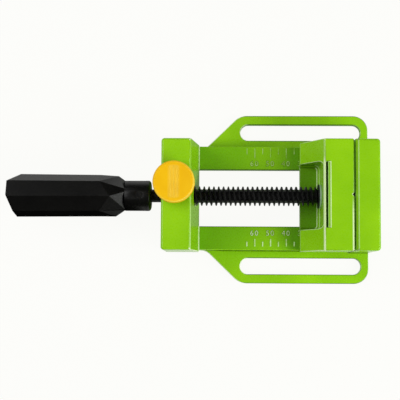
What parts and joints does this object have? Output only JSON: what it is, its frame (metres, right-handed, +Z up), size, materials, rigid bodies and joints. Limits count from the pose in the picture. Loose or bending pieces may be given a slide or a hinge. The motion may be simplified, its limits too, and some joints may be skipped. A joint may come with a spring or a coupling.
{
  "type": "drill press vise",
  "caption": "Slotted-base drill press vise with raked sliding jaw, screw spindle with faceted handle, and a push-button quick release.",
  "frame": {"origin": "on the underside of the base, midway between the two table slots", "axes": "+X along the screw from the handle towards the fixed jaw, +Z up from the drill table, +Y across the jaws"},
  "size_m": [0.2286, 0.108, 0.0582],
  "materials": {
    "green_paint": "satin yellow-green enamel on die-cast aluminium",
    "black_steel": "blackened steel",
    "black_handle": "moulded black plastic, fine matt grain",
    "yellow_button": "moulded golden-yellow plastic",
    "plain_steel": "turned steel",
    "zinc_steel": "zinc-plated steel"
  },
  "bodies": {
    "base": {"base_casting": "green_paint", "spring_cover": "zinc_steel", "cover_screw_right": "zinc_steel", "cover_screw_left": "zinc_steel", "cover_washer_right": "zinc_steel", "cover_washer_left": "zinc_steel", "plunger_spring": "plain_steel"},
    "jaw": {"moving_jaw": "green_paint", "keeper_plate": "zinc_steel", "retaining_plate": "black_steel", "keeper_screw_rear": "zinc_steel", "keeper_screw_front": "zinc_steel", "keeper_washer_rear": "zinc_steel", "keeper_washer_front": "zinc_steel"},
    "screw": {"spindle": "black_steel", "thrust_washer": "black_steel", "handle": "black_handle", "handle_pin": "black_steel"},
    "button": {"release_plunger": "plain_steel", "release_button": "yellow_button"}
  },
  "joints": [
    {"name": "jaw_slide", "type": "slide", "parent": "base", "child": "jaw", "axis": [-1, 0, 0], "range_m": [0, 0.0635]},
    {"name": "spindle_turn", "type": "hinge", "parent": "jaw", "child": "screw", "pos_m": [0.0091, 0, 0.0277], "axis": [-1, 0, 0], "range_deg": [0, 7620]},
    {"name": "button_press", "type": "slide", "parent": "base", "child": "button", "axis": [0, 0, -1], "range_m": [0, 0.0035], "stiffness_N_per_m": 900, "springref_m": -0.003, "deforming": ["plunger_spring"]}
  ],
  "couplings": [
    {"joint": "spindle_turn", "follows": "jaw_slide", "rad_per_m": 2094.4}
  ]
}
